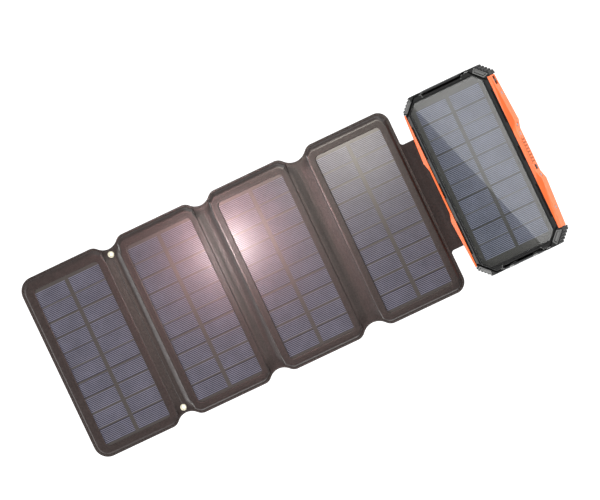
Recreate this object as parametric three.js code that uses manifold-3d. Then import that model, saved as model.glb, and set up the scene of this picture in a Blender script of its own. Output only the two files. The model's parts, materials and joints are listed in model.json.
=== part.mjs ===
// A folding solar charger: a power bank with a solar panel in its front, and four more solar panels
// sewn into one strip of PU leather that folds like an accordion and stows under the power bank.
// Millimetres. +Z is up, +X runs along the open strip towards the power bank, and +Y towards the end
// with the USB sockets. The origin is the middle of the footprint, on the surface that it lies on.
import * as THREE from "three";
import { mergeVertices } from "three/addons/utils/BufferGeometryUtils.js";
import Module from "manifold-3d";

const wasm = await Module();
wasm.setup();

// ---------------------------------------------------------------- driving dimensions

const GAP = 0.3; // between neighbouring solids that are cut to each other
const THIN_GAP = 0.1; // between the stacked layers of a panel

const STRIP_LENGTH = 156.6; // across the strip, along Y
const PAD_WIDTH = 72; // one stiff panel, along X
const SEAM = 3.6; // flat sewn edge round the pads
const FOLD_12 = 14; // flat leather between panel 1 and panel 2
const FOLD_23 = 14;
const FOLD_34 = 18.6;
const BANK_GAP = 15.8; // from the strip's edge to the power bank's widest point
const BANK_WIDTH = 84;
const BANK_LENGTH = 157;
const BANK_HEIGHT = 21;

const STRIP_CORNER_R = 10;
const NOTCH = { halfWidth: 13.9, depth: 6.4, cornerRadius: 5.5 };
const WIDE_NOTCH = { halfWidth: 15.7, depth: 7.6, cornerRadius: 6 };

const LEATHER = 0.55; // one layer
const SEAM_Z = 1; // where the front and back layers meet in the seam
const PAD_TOP = 3.4;
const PAD_R = 7.5;
const WINDOW = { width: 60, length: 138.8, centreY: -0.9, radius: 3.2 };
const LAMINATE = { width: 62.5, length: 141.4, z0: 1.8, z1: 2.8, radius: 3 };
const BOARD = { inset: 0.9, z0: 0.65, floor: 1.7, z1: 2.75 };
const RIBBON = { width: 5, thickness: 0.3, y: 52 };

const FLAP_LENGTH = 92.6; // along Y
const FLAP_FILLET = 2.4;
const FLAP_THICKNESS = 1.2;
const TAB_REACH = 36; // how far the flap's tab runs under the power bank
const TAB_Z = 1.9;

const EYELET = { y: 67.5, bore: 1.5, barrel: 1.9, flange: 2.7, z0: 0.1, z1: 1.9 };

const BODY_HALF_W = 37.4; // the black shells, without the side grips
const BODY_HALF_L = 76.8;
const BODY_CHAMFER = 12.5;
const SPLIT_Z = 7.4; // where the rear cover's wall ends
const WALL = 1.8;
const END_WALL = 4.2;
const FLOOR = 1.8;
const FOOT_BEVEL = { inset: 1.2, height: 1.6 };
const BROW = { acrossX: 3.4, acrossY: 3.2, chamfer: 2.6 }; // the frame's slope up to the glass
const GLASS = { halfW: 32.8, halfL: 71.8, chamfer: 6, ledge: 1.6, z0: 19.2, z1: 20.6 };
const BANK_LAMINATE = 1.1; // thickness of the laminate under the glass
const SEAL = { thickness: 0.6, insetX: 0.3, insetY: 0.4, lap: 0.1 };

const GRIP_INNER = 37.7;
const GRIP_HALF_L = 66.3;
const GRIP_Z = { bottom: 3.6, lowCrease: 5.4, highCrease: 17.2, top: 19.6 };
// How far the grip stands out at each distance from the middle: its ends, its bulge and its waist.
const GRIP_OUTLINE = [[66.3, 39.7], [25.5, BANK_WIDTH / 2], [18.5, 40]];
const GRIP_RIB = { count: 9, pitch: 2.7, width: 1.2, height: 9, proud: 0.45, root: 0.5 };
const MID_Z = (GRIP_Z.lowCrease + GRIP_Z.highCrease) / 2;
const SIDE_SCREW_Y = [50, 22, -22, -50];
const SCREW = { headRadius: 1.5, headHeight: 0.9, shankRadius: 0.8, length: 3.6 };
const LANYARD = { y: 61.6, length: 7.2, z0: 7.8, z1: 13.8, depth: 1.4, bar: 1.4 };

const GUARD_OUT = 39.5; // outer face of the corner guards, along X
const GUARD_END = 78.2; // and along Y
const GUARD_Z = [1.4, 20.2];
const GUARD_LAND = 1.4; // flat side of a guard before its slanting face
const GUARD_TEETH = { count: 4, height: 0.7, tail: 0.3 };
// Each tooth's corners: how far along the tooth, and what share of its height.
const TOOTH = [[0.3, 0], [0.42, 1], [0.88, 1], [1, 0]];

const END_PIECE = { halfW: 18.5, inner: 75.4, slot: 0.8, z0: 4.5, z1: 18.8 };
const END_GROOVE = { pitch: 2.4, width: 0.9, depth: 0.6, z0: 13.1, margin: 2 };
const TORCH = { x: 10.9, radius: 4, z: 12, proud: 0.9 };
const BUTTON = { y: -14.6, length: 3.6, height: 3.6, inner: 38, proud: 40.5 };
const STATUS_LENS = { y: 14.6, length: 3.6, height: 1.8, inner: 38, proud: 40.1 };

const SOCKETS = [
  { name: "usb_a_socket", x: -9.6, width: 13.2, height: 5.8, z: 9.4, length: 13.4, tongue: 2 },
  { name: "usb_c_socket", x: 3.6, width: 9, height: 3.3, z: 9.4, length: 7.6, tongue: 0.7 },
  { name: "micro_usb_socket", x: 13, width: 7.6, height: 3, z: 9.4, length: 6, tongue: 0.7 },
];
const SOCKET_FACE = END_PIECE.inner - END_PIECE.slot - THIN_GAP;
const SOCKET_SHEET = 0.35; // thickness of a socket's metal
const TONGUE = { sideGap: 1, root: 0.5, mouth: 0.8 };
const CLAMP = { x: -BODY_HALF_W + TAB_REACH / 2 + 1, halfW: 13, z0: 0.1, z1: 1.6, screwY: 32 };
const MAIN_BOARD = { halfW: 24, y0: 50, y1: 70, z0: 7.9, z1: 9.1 };
const CELL = { halfW: 30.5, y0: -64, y1: 47, z0: 5.6, thickness: 5.3 };

// ---------------------------------------------------------------- places along the strip

const totalWidth = 2 * SEAM + 4 * PAD_WIDTH + FOLD_12 + FOLD_23 + FOLD_34 + BANK_GAP + BANK_WIDTH;
const stripLeft = -totalWidth / 2;
const padLeft = [stripLeft + SEAM];
for (const fold of [FOLD_12, FOLD_23, FOLD_34]) padLeft.push(padLeft.at(-1) + PAD_WIDTH + fold);
const padRight = padLeft.map((x) => x + PAD_WIDTH);
const stripRight = padRight[3] + SEAM;
const bankX = totalWidth / 2 - BANK_WIDTH / 2;
const padLength = STRIP_LENGTH - 2 * SEAM;
const foldCentre = [0, 1, 2].map((i) => (padRight[i] + padLeft[i + 1]) / 2);

// ---------------------------------------------------------------- materials

const material = (color, roughness, metalness = 0) =>
  new THREE.MeshStandardMaterial({ color, roughness, metalness });
const MATERIALS = {
  leather: material(0x3c3533, 0.62),
  board: material(0x8c8c86, 0.8),
  solar: material(0x3b3e58, 0.3),
  brass: material(0xc9b768, 0.3, 1),
  shell: material(0x2b2b2b, 0.55),
  glass: material(0x50504e, 0.08),
  grip: material(0xff7a45, 0.45),
  rubber: material(0x3a3a3a, 0.8),
  steel: material(0x9a9a9a, 0.35, 1),
  circuit: material(0x1d5a3a, 0.6),
  battery: material(0xa9abad, 0.4, 0.6),
  lens: material(0xd8dad8, 0.15),
  copper: material(0xb06a3c, 0.4, 1),
};

// ---------------------------------------------------------------- outlines and solids

const radians = THREE.MathUtils.degToRad;

// Points round an arc, from one angle to another, in degrees.
function arc(x, y, radius, from, to, steps = 6) {
  const points = [];
  for (let i = 0; i <= steps; i++) {
    const angle = radians(from + ((to - from) * i) / steps);
    points.push([x + radius * Math.cos(angle), y + radius * Math.sin(angle)]);
  }
  return points;
}

function roundedRectangle(width, length, radius) {
  const [x, y] = [width / 2 - radius, length / 2 - radius];
  return [
    ...arc(x, y, radius, 0, 90),
    ...arc(-x, y, radius, 90, 180),
    ...arc(-x, -y, radius, 180, 270),
    ...arc(x, -y, radius, 270, 360),
  ];
}

function octagon(halfW, halfL, chamfer) {
  const corner = [[halfW, halfL - chamfer], [halfW - chamfer, halfL]];
  const quarter = (sx, sy, points) => points.map(([x, y]) => [sx * x, sy * y]);
  return [
    ...quarter(1, 1, corner),
    ...quarter(-1, 1, corner.toReversed()),
    ...quarter(-1, -1, corner),
    ...quarter(1, -1, corner.toReversed()),
  ];
}

const moved = (points, dx, dy) => points.map(([x, y]) => [x + dx, y + dy]);

// A closed solid through rings [points, z] with equal numbers of points, from the lowest to the highest.
function loft(rings) {
  const count = rings[0][0].length;
  const positions = rings.flatMap(([points, z]) => points.flatMap(([x, y]) => [x, y, z]));
  const cap = THREE.ShapeUtils.triangulateShape(
    rings[0][0].map(([x, y]) => new THREE.Vector2(x, y)),
    [],
  );
  const index = cap.flatMap(([a, b, c]) => [a, c, b]);
  for (let r = 0; r + 1 < rings.length; r++) {
    for (let i = 0; i < count; i++) {
      const j = (i + 1) % count;
      const [a, b] = [r * count + i, r * count + j];
      index.push(a, b, b + count, a, b + count, a + count);
    }
  }
  const top = (rings.length - 1) * count;
  index.push(...cap.flat().map((i) => i + top));
  const geometry = new THREE.BufferGeometry();
  geometry.setAttribute("position", new THREE.Float32BufferAttribute(positions, 3));
  return geometry.setIndex(index);
}

const prism = (points, z0, z1) => loft([[points, z0], [points, z1]]);

// A box between two corners.
function block([x0, x1], [y0, y1], [z0, z1]) {
  const geometry = new THREE.BoxGeometry(x1 - x0, y1 - y0, z1 - z0);
  return geometry.translate((x0 + x1) / 2, (y0 + y1) / 2, (z0 + z1) / 2);
}

// A cylinder that lies along X or Y, between two places on that axis.
function rod(axis, radius, [from, to], across, z, sides = 16) {
  const geometry = new THREE.CylinderGeometry(radius, radius, to - from, sides);
  if (axis === "x") return geometry.rotateZ(Math.PI / 2).translate((from + to) / 2, across, z);
  return geometry.translate(across, (from + to) / 2, z);
}

// A cylinder that stands along Z, between two heights.
function upright(radius, [from, to], x, y, sides = 16) {
  const geometry = new THREE.CylinderGeometry(radius, radius, to - from, sides).rotateX(Math.PI / 2);
  return geometry.translate(x, y, (from + to) / 2);
}

// A manifold-3d solid of a closed three.js geometry.
function solid(geometry) {
  const bare = new THREE.BufferGeometry();
  bare.setAttribute("position", geometry.getAttribute("position"));
  bare.setIndex(geometry.index);
  const merged = mergeVertices(bare, 1e-4);
  const vertProperties = merged.attributes.position.array;
  const triVerts = new Uint32Array(merged.index.array);
  return new wasm.Manifold(new wasm.Mesh({ numProp: 3, vertProperties, triVerts }));
}

function geometryOf(manifold) {
  const made = manifold.getMesh();
  const geometry = new THREE.BufferGeometry();
  geometry.setAttribute("position", new THREE.BufferAttribute(made.vertProperties, 3));
  geometry.setIndex(new THREE.BufferAttribute(made.triVerts, 1));
  geometry.computeVertexNormals();
  return geometry;
}

const join = (...geometries) => geometryOf(geometries.map(solid).reduce((a, b) => a.add(b)));
const cut = (geometry, ...tools) =>
  geometryOf(tools.map(solid).reduce((a, b) => a.subtract(b), solid(geometry)));
const common = (a, b) => geometryOf(solid(a).intersect(solid(b)));

const charger = new THREE.Group();
const bank = new THREE.Group();
bank.position.x = bankX;
charger.add(bank);

function add(group, name, geometry, materialName) {
  const mesh = new THREE.Mesh(geometry, MATERIALS[materialName]);
  mesh.name = name;
  group.add(mesh);
  return mesh;
}

// ---------------------------------------------------------------- the leather strip

// The scallop in the strip's upper edge over a fold, from right to left: two round corners and a hollow.
function notchEdge(centre, { halfWidth, depth, cornerRadius }) {
  const y = STRIP_LENGTH / 2;
  // The corner's radius and the hollow's radius together, so that the two arcs meet smoothly.
  const bothRadii = (halfWidth ** 2 + depth ** 2) / (2 * depth);
  const hollow = bothRadii - cornerRadius;
  const lean = THREE.MathUtils.radToDeg(Math.atan2(bothRadii - depth, halfWidth));
  return [
    ...arc(centre + halfWidth, y - cornerRadius, cornerRadius, 90, 180 - lean, 4),
    ...arc(centre, y - depth + hollow, hollow, -lean, lean - 180, 10).slice(1, -1),
    ...arc(centre - halfWidth, y - cornerRadius, cornerRadius, lean, 90, 4),
  ];
}

function stripOutline() {
  const [r, y] = [STRIP_CORNER_R, STRIP_LENGTH / 2 - STRIP_CORNER_R];
  const upper = [
    ...arc(stripRight - r, y, r, 0, 90),
    ...notchEdge(foldCentre[2], WIDE_NOTCH),
    ...notchEdge(foldCentre[1], NOTCH),
    ...notchEdge(foldCentre[0], NOTCH),
    ...arc(stripLeft + r, y, r, 90, 180),
  ];
  return [...upper, ...upper.toReversed().map(([x, v]) => [x, -v])];
}

const outline = stripOutline();

// One layer of the strip between two places on X.
function stripLayer([x0, x1], z) {
  const across = STRIP_LENGTH / 2 + 1;
  return common(prism(outline, ...z), block([x0, x1], [-across, across], [z[0] - 1, z[1] + 1]));
}

// The stretch of X that panel i's own leather covers; the end panels include the sewn edge.
function leatherSpan(i) {
  return [i === 0 ? stripLeft - 1 : padLeft[i], i === 3 ? stripRight + 1 : padRight[i]];
}

const padMiddle = (i) => (padLeft[i] + padRight[i]) / 2;
const padOutline = (i, inset) =>
  moved(roundedRectangle(PAD_WIDTH - 2 * inset, padLength - 2 * inset, PAD_R - inset), padMiddle(i), 0);
const windowOutline = (i) =>
  moved(roundedRectangle(WINDOW.width, WINDOW.length, WINDOW.radius), padMiddle(i), WINDOW.centreY);

// The pad's skin is a cap over the board, and it runs out into the sewn seam.
function frontLeather(i) {
  const seamLow = SEAM_Z + THIN_GAP / 2;
  const seam = stripLayer(leatherSpan(i), [seamLow, SEAM_Z + LEATHER]);
  const cap = prism(padOutline(i, 0), seamLow, PAD_TOP);
  const inside = prism(padOutline(i, LEATHER), seamLow - 1, PAD_TOP - LEATHER);
  return cut(join(seam, cap), inside, prism(windowOutline(i), 0, PAD_TOP + 1));
}

function backLeather(i) {
  const seamHigh = SEAM_Z - THIN_GAP / 2;
  const seam = stripLayer(leatherSpan(i), [SEAM_Z - LEATHER, seamHigh]);
  const cap = prism(padOutline(i, 0), 0, seamHigh);
  return cut(join(seam, cap), prism(padOutline(i, LEATHER), LEATHER, seamHigh + 1));
}

// A plastic board with a pocket for the solar laminate and a groove under it for the lead.
function stiffener(i) {
  const plate = prism(padOutline(i, BOARD.inset), BOARD.z0, BOARD.z1);
  const pocketOutline = roundedRectangle(LAMINATE.width + 1, LAMINATE.length + 1, LAMINATE.radius + 0.5);
  const pocket = prism(moved(pocketOutline, padMiddle(i), WINDOW.centreY), BOARD.floor, BOARD.z1 + 1);
  const halfGroove = RIBBON.width / 2 + GAP;
  const groove = block(
    [padLeft[i] - 1, padRight[i] + 1],
    [RIBBON.y - halfGroove, RIBBON.y + halfGroove],
    [BOARD.z0 - 1, BOARD.z0 + RIBBON.thickness + 2 * THIN_GAP],
  );
  return cut(plate, pocket, groove);
}

function addPanel(i) {
  const name = `panel_${i + 1}`;
  const laminate = roundedRectangle(LAMINATE.width, LAMINATE.length, LAMINATE.radius);
  add(charger, `${name}_back_leather`, backLeather(i), "leather");
  add(charger, `${name}_board`, stiffener(i), "board");
  add(
    charger,
    `${name}_solar_laminate`,
    prism(moved(laminate, padMiddle(i), WINDOW.centreY), LAMINATE.z0, LAMINATE.z1),
    "solar",
  );
  add(charger, `${name}_front_leather`, frontLeather(i), "leather");
  const lead = add(
    charger,
    `${name}_lead_ribbon`,
    new THREE.BoxGeometry(PAD_WIDTH - 4 * LEATHER, RIBBON.width, RIBBON.thickness),
    "copper",
  );
  lead.position.set(padMiddle(i), RIBBON.y, BOARD.z0 + THIN_GAP + RIBBON.thickness / 2);
}

// The soft leather between two panels, both layers in one.
function foldLeather(i) {
  const span = [padRight[i] + GAP / 2, padLeft[i + 1] - GAP / 2];
  return stripLayer(span, [SEAM_Z - LEATHER, SEAM_Z + LEATHER]);
}

// The flap rises from the seam to its tab, which lies in the recess under the power bank.
function flapLeather() {
  const start = stripRight + GAP;
  const bankEdge = bankX - BODY_HALF_W;
  const low = SEAM_Z - FLAP_THICKNESS / 2;
  const end = bankEdge + TAB_REACH;
  const lower = [[start, low], [bankEdge, TAB_Z], [end, TAB_Z]];
  const upper = lower.toReversed().map(([x, z]) => [x, z + FLAP_THICKNESS]);
  const half = FLAP_LENGTH / 2;
  const strip = prism([...lower, ...upper], -half, half).rotateX(Math.PI / 2);
  // The flap widens where it leaves the strip, in a small fillet at each end.
  const flare = [
    [start, half - 1],
    [start + FLAP_FILLET, half - 1],
    ...arc(start + FLAP_FILLET, half + FLAP_FILLET, FLAP_FILLET, 270, 180, 4),
  ];
  const layer = [low, low + FLAP_THICKNESS];
  const other = flare.toReversed().map(([x, y]) => [x, -y]);
  const holes = [1, -1].map((s) =>
    upright(SCREW.shankRadius + GAP, [-1, BANK_HEIGHT], bankX + CLAMP.x, s * CLAMP.screwY),
  );
  return cut(join(strip, prism(flare, ...layer), prism(other, ...layer)), ...holes);
}

function eyelet() {
  const { bore, barrel, flange, z0, z1 } = EYELET;
  const [low, high] = [SEAM_Z - LEATHER - THIN_GAP, SEAM_Z + LEATHER + THIN_GAP];
  const profile = [
    [bore, z0], [flange, z0], [flange, low], [barrel, low],
    [barrel, high], [flange, high], [flange, z1], [bore, z1], [bore, z0],
  ];
  const points = profile.map(([x, y]) => new THREE.Vector2(x, y));
  return new THREE.LatheGeometry(points, 20).rotateX(Math.PI / 2);
}

const eyeletHole = (y) =>
  moved(arc(0, 0, EYELET.barrel + GAP, 0, 340, 17), foldCentre[0], y);

function addStrip() {
  for (let i = 0; i < 4; i++) addPanel(i);
  const holes = [EYELET.y, -EYELET.y].map((y) => prism(eyeletHole(y), 0, PAD_TOP));
  add(charger, "fold_12_leather", cut(foldLeather(0), ...holes), "leather");
  add(charger, "fold_23_leather", foldLeather(1), "leather");
  add(charger, "fold_34_leather", foldLeather(2), "leather");
  add(charger, "flap_leather", flapLeather(), "leather");
  add(charger, "eyelet_upper", eyelet(), "brass").position.set(foldCentre[0], EYELET.y, 0);
  add(charger, "eyelet_lower", eyelet(), "brass").position.set(foldCentre[0], -EYELET.y, 0);
}

// ---------------------------------------------------------------- the power bank's shells

// A screw along Z with its head at the top, its head's face at the origin.
function screw() {
  const { headRadius, headHeight, shankRadius, length } = SCREW;
  const profile = [
    [0, -length], [shankRadius, -length], [shankRadius, -headHeight],
    [headRadius, -headHeight], [headRadius, 0], [0, 0],
  ];
  const points = profile.map(([x, y]) => new THREE.Vector2(x, y));
  return new THREE.LatheGeometry(points, 12).rotateX(Math.PI / 2);
}

// A hole for a side screw: a wide mouth for its head and a narrow way for its shank.
function sideScrewHole(side, y) {
  const mouth = gripOuter(y) - SCREW.headHeight - GAP;
  const far = gripOuter(y) - SCREW.length - GAP;
  const along = (from, to) => (side > 0 ? [from, to] : [-to, -from]);
  return join(
    rod("x", SCREW.headRadius + GAP, along(mouth, BANK_WIDTH / 2 + 2), y, MID_Z),
    rod("x", SCREW.shankRadius + GAP, along(far, BANK_WIDTH / 2 + 2), y, MID_Z, 12),
  );
}

// The recess at each end: the port cover closes one, and the torch cap fills the other.
function endRecess(end) {
  const halfW = END_PIECE.halfW + GAP;
  const y = [end * (END_PIECE.inner - END_PIECE.slot), end * (BANK_LENGTH / 2 + 1)];
  return block([-halfW, halfW], y.sort((a, b) => a - b), [END_PIECE.z0 - GAP, BANK_HEIGHT + 1]);
}

// A square hole in the right side, for a piece that stands in it.
function sideOpening({ y, length, height }, span) {
  return block(
    span,
    [y - length / 2 - GAP, y + length / 2 + GAP],
    [MID_Z - height / 2 - GAP, MID_Z + height / 2 + GAP],
  );
}

const bodyOutline = (inset) => octagon(BODY_HALF_W - inset, BODY_HALF_L - inset, BODY_CHAMFER);
const cavity = (z0, z1) =>
  prism(octagon(BODY_HALF_W - WALL, BODY_HALF_L - END_WALL, BODY_CHAMFER), z0, z1);
const recessSpan = [-BODY_HALF_W - 1, -BODY_HALF_W + TAB_REACH + GAP];
const recessHalf = FLAP_LENGTH / 2 + GAP;
const recessTop = TAB_Z + FLAP_THICKNESS + GAP;

function rearCover() {
  const { inset, height } = FOOT_BEVEL;
  const tray = cut(
    loft([[bodyOutline(inset), 0], [bodyOutline(0), height], [bodyOutline(0), SPLIT_Z - GAP]]),
    cavity(FLOOR, SPLIT_Z + 1),
  );
  const roof = block(
    [-BODY_HALF_W + 1, recessSpan[1] + WALL],
    [-recessHalf - WALL, recessHalf + WALL],
    [FLOOR - 0.5, recessTop + WALL],
  );
  const recess = block(recessSpan, [-recessHalf, recessHalf], [-1, recessTop]);
  const clampScrews = [1, -1].map((s) =>
    upright(SCREW.shankRadius + GAP, [-1, recessTop + WALL + 1], CLAMP.x, s * CLAMP.screwY, 12),
  );
  return cut(join(tray, roof), recess, endRecess(1), endRecess(-1), ...clampScrews);
}

function frontFrame() {
  const low = SPLIT_Z + SEAL.thickness + GAP;
  const brow = octagon(
    BODY_HALF_W - BROW.acrossX,
    BODY_HALF_L - BROW.acrossY,
    BODY_CHAMFER - BROW.chamfer,
  );
  const shell = loft([
    [bodyOutline(0), low],
    [bodyOutline(0), GRIP_Z.top],
    [brow, BANK_HEIGHT],
  ]);
  const { halfW, halfL, chamfer, ledge, z0 } = GLASS;
  const openings = [
    cavity(low - 1, z0 - ledge - 1),
    prism(octagon(halfW - ledge, halfL - ledge, chamfer), low - 1, BANK_HEIGHT + 1),
    prism(octagon(halfW + GAP, halfL + GAP, chamfer), z0 - GAP / 2, BANK_HEIGHT + 1),
    endRecess(1),
    endRecess(-1),
    sideOpening(BUTTON, [BODY_HALF_W - WALL - 1, BODY_HALF_W + 1]),
  ];
  for (const side of [1, -1]) for (const y of SIDE_SCREW_Y) openings.push(sideScrewHole(side, y));
  for (const { x, width, height, z } of SOCKETS) {
    openings.push(block(
      [x - width / 2 - GAP, x + width / 2 + GAP],
      [BODY_HALF_L - END_WALL - 1, BODY_HALF_L],
      [z - GAP, z + height + GAP],
    ));
  }
  for (const s of [1, -1]) {
    const hole = [-BODY_HALF_L, -BODY_HALF_L + END_WALL + 1];
    openings.push(rod("y", TORCH.radius - 1, hole, s * TORCH.x, TORCH.z));
  }
  return cut(shell, ...openings);
}

function caseSeal() {
  const { thickness, insetX, insetY, lap } = SEAL;
  const [z0, z1] = [SPLIT_Z, SPLIT_Z + thickness];
  const outer = octagon(BODY_HALF_W - insetX, BODY_HALF_L - insetY, BODY_CHAMFER);
  const inner = octagon(BODY_HALF_W - WALL + lap, BODY_HALF_L - END_WALL + lap, BODY_CHAMFER);
  return cut(prism(outer, z0, z1), prism(inner, z0 - 1, z1 + 1), endRecess(1), endRecess(-1));
}

// ---------------------------------------------------------------- grips, guards and end pieces

// How far a side grip stands out at a place along Y.
function gripOuter(y) {
  const stations = GRIP_OUTLINE;
  const at = Math.abs(y);
  if (at <= stations.at(-1)[0]) return stations.at(-1)[1];
  const i = stations.findIndex(([far], k) => far >= at && at > (stations[k + 1]?.[0] ?? 0));
  const [[y1, x1], [y0, x0]] = [stations[i], stations[i + 1]];
  return x0 + ((x1 - x0) * (at - y0)) / (y1 - y0);
}

function sideGrip(side) {
  const { bottom, lowCrease, highCrease, top } = GRIP_Z;
  const section = (outer) => {
    const points = [
      [GRIP_INNER, bottom], [outer, lowCrease], [outer, highCrease], [GRIP_INNER, top],
    ];
    return side > 0 ? points : points.toReversed().map(([x, z]) => [-x, z]);
  };
  const stations = [...GRIP_OUTLINE.map(([y, outer]) => [-y, outer]), ...GRIP_OUTLINE.toReversed()];
  const body = loft(stations.map(([y, outer]) => [section(outer), y])).rotateX(Math.PI / 2);
  const waist = GRIP_OUTLINE.at(-1)[1];
  const face = (from, to) => (side > 0 ? [from, to] : [-to, -from]);
  const ribs = Array.from({ length: GRIP_RIB.count }, (_, k) => {
    const y = (k - (GRIP_RIB.count - 1) / 2) * GRIP_RIB.pitch;
    return block(
      face(waist - GRIP_RIB.root, waist + GRIP_RIB.proud),
      [y - GRIP_RIB.width / 2, y + GRIP_RIB.width / 2],
      [MID_Z - GRIP_RIB.height / 2, MID_Z + GRIP_RIB.height / 2],
    );
  });
  return cut(join(body, ...ribs), ...SIDE_SCREW_Y.map((y) => sideScrewHole(side, y)));
}

// The right grip also has the button, the status light and the lanyard pocket with its moulded bar.
function rightGrip() {
  const through = [GRIP_INNER - 1, BANK_WIDTH / 2 + 1];
  const { y, length, z0, z1, depth, bar } = LANYARD;
  const outer = gripOuter(y);
  const pocket = (from, to) => block([outer - depth, outer + 1], [from, to], [z0, z1]);
  return cut(
    sideGrip(1),
    sideOpening(BUTTON, through),
    sideOpening(STATUS_LENS, through),
    pocket(y - length / 2, y - bar / 2),
    pocket(y + bar / 2, y + length / 2),
  );
}

// A rubber guard round one corner of the shells, with upright teeth on its slanting face.
function cornerGuard(sx, sy) {
  const slant = BODY_HALF_W + BODY_HALF_L - BODY_CHAMFER + GAP * Math.SQRT2;
  const [start, inY] = [GRIP_HALF_L + GAP, BODY_HALF_L + GAP];
  const from = [GUARD_OUT, start + GUARD_LAND];
  const to = [GUARD_OUT - (GUARD_END - from[1]), GUARD_END];
  const points = [[GUARD_OUT, start], from];
  const out = GUARD_TEETH.height / Math.SQRT2;
  for (let k = 0; k < GUARD_TEETH.count; k++) {
    for (const [share, rise] of TOOTH) {
      const t = (k + share) / (GUARD_TEETH.count + GUARD_TEETH.tail);
      const proud = rise * out;
      points.push([from[0] + t * (to[0] - from[0]) + proud, from[1] + t * (to[1] - from[1]) + proud]);
    }
  }
  points.push(to, [slant - inY, GUARD_END], [slant - inY, inY], [slant - start, start]);
  const placed = points.map(([x, y]) => [sx * x, sy * y]);
  return prism(sx * sy > 0 ? placed : placed.toReversed(), ...GUARD_Z);
}

// The block that fills the recess at one end, as far out as `outer`.
function endBlock(end, outer) {
  const { halfW, inner, z0, z1 } = END_PIECE;
  const span = [end * inner, end * outer].sort((a, b) => a - b);
  return block([-halfW, halfW], span, [z0, z1]);
}

// The rubber door over the sockets, with upright grooves in its outer face to grip it by.
function portCover() {
  const { pitch, width, depth, z0, margin } = END_GROOVE;
  const face = BANK_LENGTH / 2;
  const grooves = [];
  for (let x = margin - END_PIECE.halfW; x < END_PIECE.halfW - width; x += pitch) {
    grooves.push(block([x, x + width], [face - depth, face + 1], [z0, END_PIECE.z1 + 1]));
  }
  return cut(endBlock(1, face), ...grooves);
}

function torchCap() {
  const through = [-BANK_LENGTH / 2 - 1, -END_PIECE.inner + 1];
  const holes = [1, -1].map((s) =>
    rod("y", TORCH.radius + GAP, through, s * TORCH.x, TORCH.z, 20),
  );
  return cut(endBlock(-1, BANK_LENGTH / 2 - TORCH.proud), ...holes);
}

// ---------------------------------------------------------------- sockets, board and cells

// A socket's metal shell, open at the front, with the tongue that carries its contacts.
function socket({ x, width, height, z, length, tongue }) {
  const sheet = SOCKET_SHEET;
  const front = SOCKET_FACE;
  const shell = block([x - width / 2, x + width / 2], [front - length, front], [z, z + height]);
  const inside = block(
    [x - width / 2 + sheet, x + width / 2 - sheet],
    [front - length + 1, front + 1],
    [z + sheet, z + height - sheet],
  );
  const level = z + height / 2;
  const blade = block(
    [x - width / 2 + TONGUE.sideGap, x + width / 2 - TONGUE.sideGap],
    [front - length + TONGUE.root, front - TONGUE.mouth],
    [level - tongue / 2, level + tongue / 2],
  );
  return join(cut(shell, inside), blade);
}

function addBank() {
  add(bank, "rear_cover", rearCover(), "shell");
  add(bank, "case_seal", caseSeal(), "rubber");
  add(bank, "front_frame", frontFrame(), "shell");
  const { halfW, halfL, chamfer, ledge, z0, z1 } = GLASS;
  add(bank, "glass_cover", prism(octagon(halfW, halfL, chamfer), z0, z1), "glass");
  const inset = ledge + GAP;
  const cells = octagon(halfW - inset, halfL - inset, chamfer);
  const under = z0 - THIN_GAP;
  add(bank, "bank_solar_laminate", prism(cells, under - BANK_LAMINATE, under), "solar");

  add(bank, "left_side_grip", sideGrip(-1), "grip");
  add(bank, "right_side_grip", rightGrip(), "grip");
  for (const [sx, side] of [[-1, "left"], [1, "right"]]) {
    for (const [sy, end] of [[1, "upper"], [-1, "lower"]]) {
      add(bank, `corner_guard_${end}_${side}`, cornerGuard(sx, sy), "rubber");
    }
    SIDE_SCREW_Y.forEach((y, k) => {
      const fastener = add(bank, `${side}_screw_${k + 1}`, screw(), "steel");
      fastener.rotation.y = (sx * Math.PI) / 2;
      fastener.position.set(sx * gripOuter(y), y, MID_Z);
    });
  }

  add(bank, "port_cover", portCover(), "rubber");
  add(bank, "torch_cap", torchCap(), "rubber");
  for (const [s, side] of [[-1, "left"], [1, "right"]]) {
    const reach = [-BANK_LENGTH / 2, -END_PIECE.inner];
    add(bank, `torch_lens_${side}`, rod("y", TORCH.radius, reach, s * TORCH.x, TORCH.z, 20), "lens");
  }
  for (const entry of SOCKETS) add(bank, entry.name, socket(entry), "steel");
  const pcb = MAIN_BOARD;
  const pcbShape = block([-pcb.halfW, pcb.halfW], [pcb.y0, pcb.y1], [pcb.z0, pcb.z1]);
  add(bank, "main_board", pcbShape, "circuit");
  for (const [k, name] of ["battery_cell_lower", "battery_cell_upper"].entries()) {
    const low = CELL.z0 + k * (CELL.thickness + GAP);
    const span = [[-CELL.halfW, CELL.halfW], [CELL.y0, CELL.y1], [low, low + CELL.thickness]];
    add(bank, name, block(...span), "battery");
  }
  for (const [name, { y, length, height, inner, proud }, finish] of [
    ["power_button", BUTTON, "shell"],
    ["status_lens", STATUS_LENS, "lens"],
  ]) {
    const tall = [MID_Z - height / 2, MID_Z + height / 2];
    add(bank, name, block([inner, proud], [y - length / 2, y + length / 2], tall), finish);
  }
  addClamp();
}

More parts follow.
